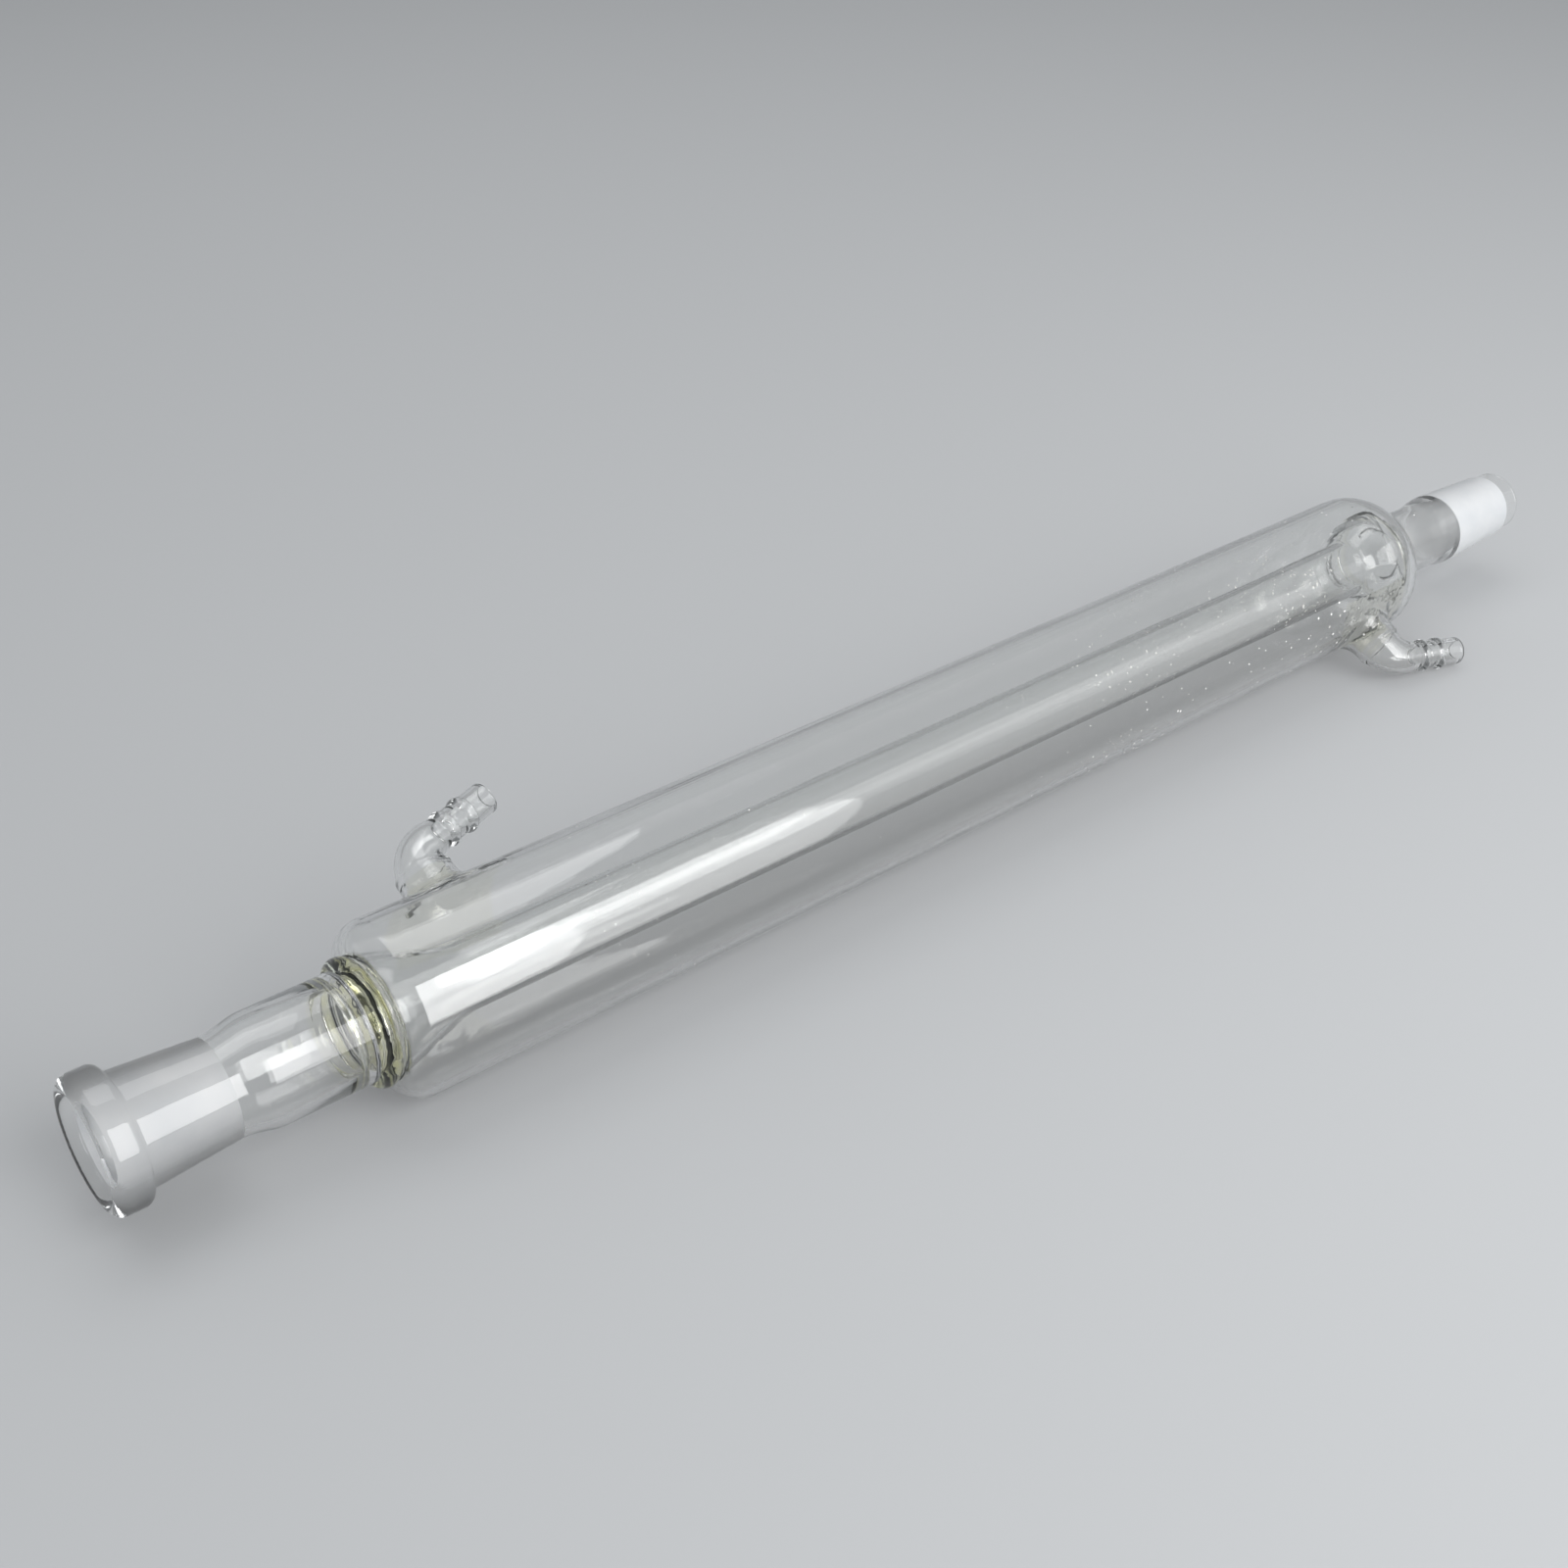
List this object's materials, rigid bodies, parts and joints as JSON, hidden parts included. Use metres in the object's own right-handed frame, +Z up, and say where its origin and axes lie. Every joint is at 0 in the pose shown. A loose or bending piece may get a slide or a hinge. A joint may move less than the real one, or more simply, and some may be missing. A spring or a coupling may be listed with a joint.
{
  "type": "straight condenser",
  "caption": "Straight glass condenser: a condensing tube inside a water jacket, with bent hose connections, a ground socket at one end and a ground cone at the other.",
  "frame": {"origin": "on the floor below the middle of the length, on the bore's line", "axes": "+X along the bore from the socket's mouth to the cone's tip, +Z up, as the condenser lies on its jacket and on the far hose connection's tip"},
  "size_m": [0.5204, 0.085, 0.0462],
  "materials": {
    "clear_glass": "clear, fire-polished borosilicate glass",
    "joint_glass": "clear borosilicate glass with a milky ground taper",
    "seal_glass": "thick fused glass, yellowish where it is deepest"
  },
  "bodies": {
    "root": {"condensing_tube": "clear_glass", "ground_socket": "joint_glass", "near_ring_seal": "seal_glass", "water_jacket": "clear_glass", "far_ring_seal": "seal_glass", "ground_cone": "joint_glass", "near_hose_connection": "clear_glass", "far_hose_connection": "clear_glass"}
  },
  "joints": []
}
